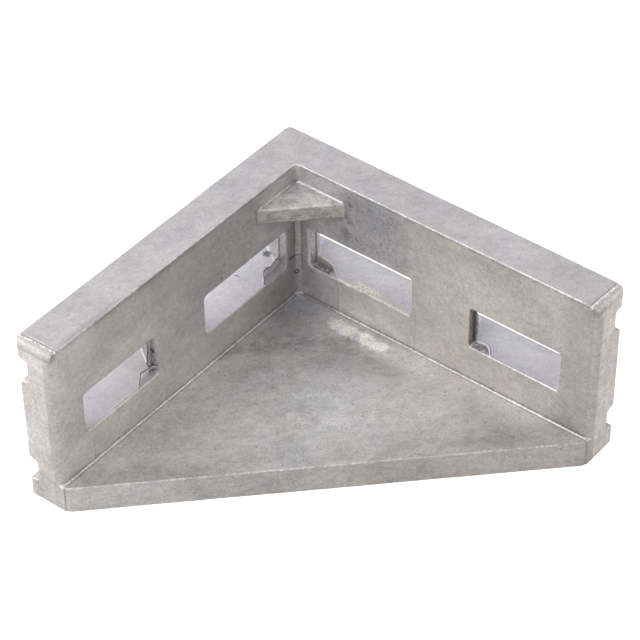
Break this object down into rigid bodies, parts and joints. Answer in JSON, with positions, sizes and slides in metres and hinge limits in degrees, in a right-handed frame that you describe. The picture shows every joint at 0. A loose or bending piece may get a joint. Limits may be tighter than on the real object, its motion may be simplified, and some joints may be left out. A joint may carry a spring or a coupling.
{
  "type": "t slot corner bracket",
  "caption": "Right-angle corner bracket for slotted framing: two walls with bolt slots and grooved seating faces on a gusset plate, with a small web in the inner corner.",
  "frame": {"origin": "outer corner, where the two seating faces meet at the foot of the walls", "axes": "+X and +Y run along the two walls from the outer corner, +Z from the gusset plate up to the rim"},
  "size_m": [0.058, 0.058, 0.0285],
  "materials": {
    "casting": "raw die cast, matt grey with darker mottling"
  },
  "bodies": {
    "root": {"corner_bracket": "casting"}
  },
  "joints": []
}
